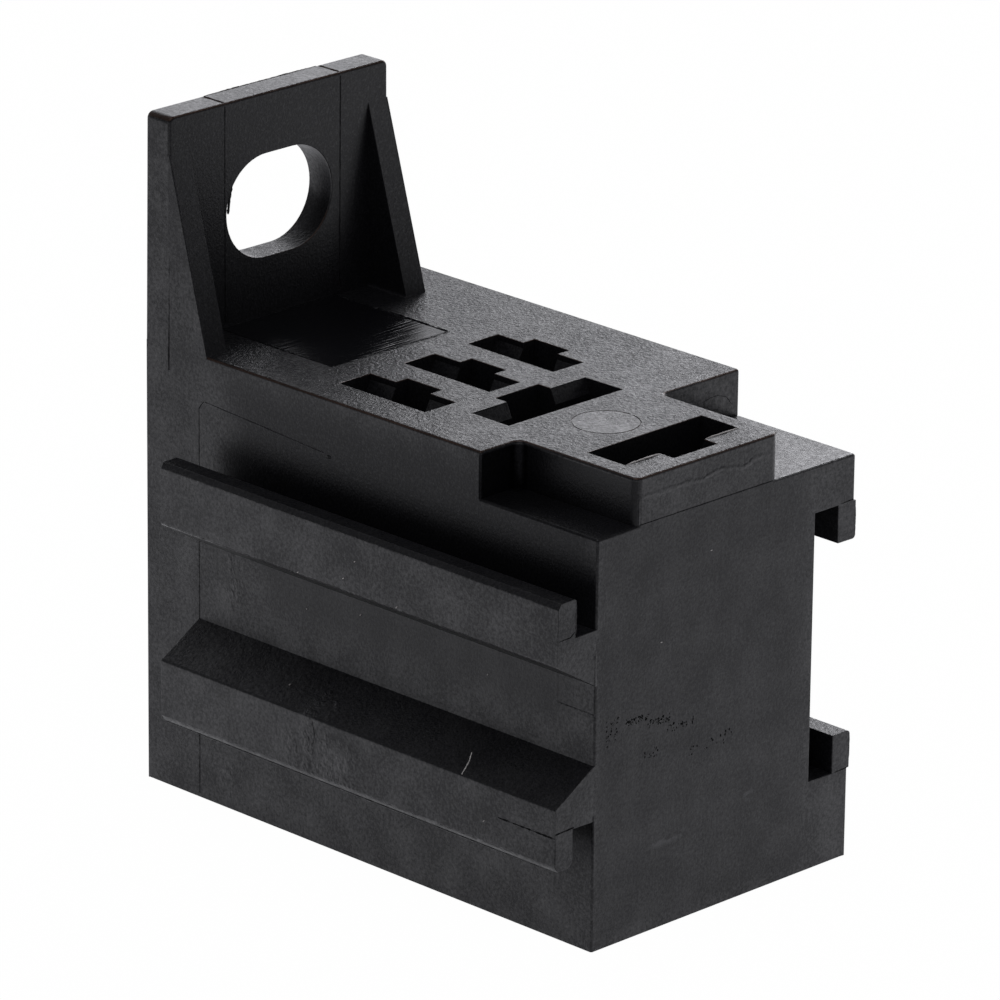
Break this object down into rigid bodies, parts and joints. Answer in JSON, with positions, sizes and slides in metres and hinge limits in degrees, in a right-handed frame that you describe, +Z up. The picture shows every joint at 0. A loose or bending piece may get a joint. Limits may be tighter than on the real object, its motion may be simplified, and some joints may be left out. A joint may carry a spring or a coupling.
{
  "type": "relay housing",
  "caption": "Moulded socket housing for a plug-in relay, with blade slots on top, a screw tab at the back and side rails that slide into the next housing.",
  "frame": {"origin": "bottom centre of the whole box, rails and lips included", "axes": "+Z up through the blade sockets towards the top of the tab, +Y towards the panel that the tab screws to, +X from the rails towards the channel"},
  "size_m": [0.0344, 0.0524, 0.0587],
  "materials": {
    "black_plastic": "black moulded plastic with a fine spark-eroded grain"
  },
  "bodies": {
    "root": {"housing": "black_plastic"}
  },
  "joints": []
}
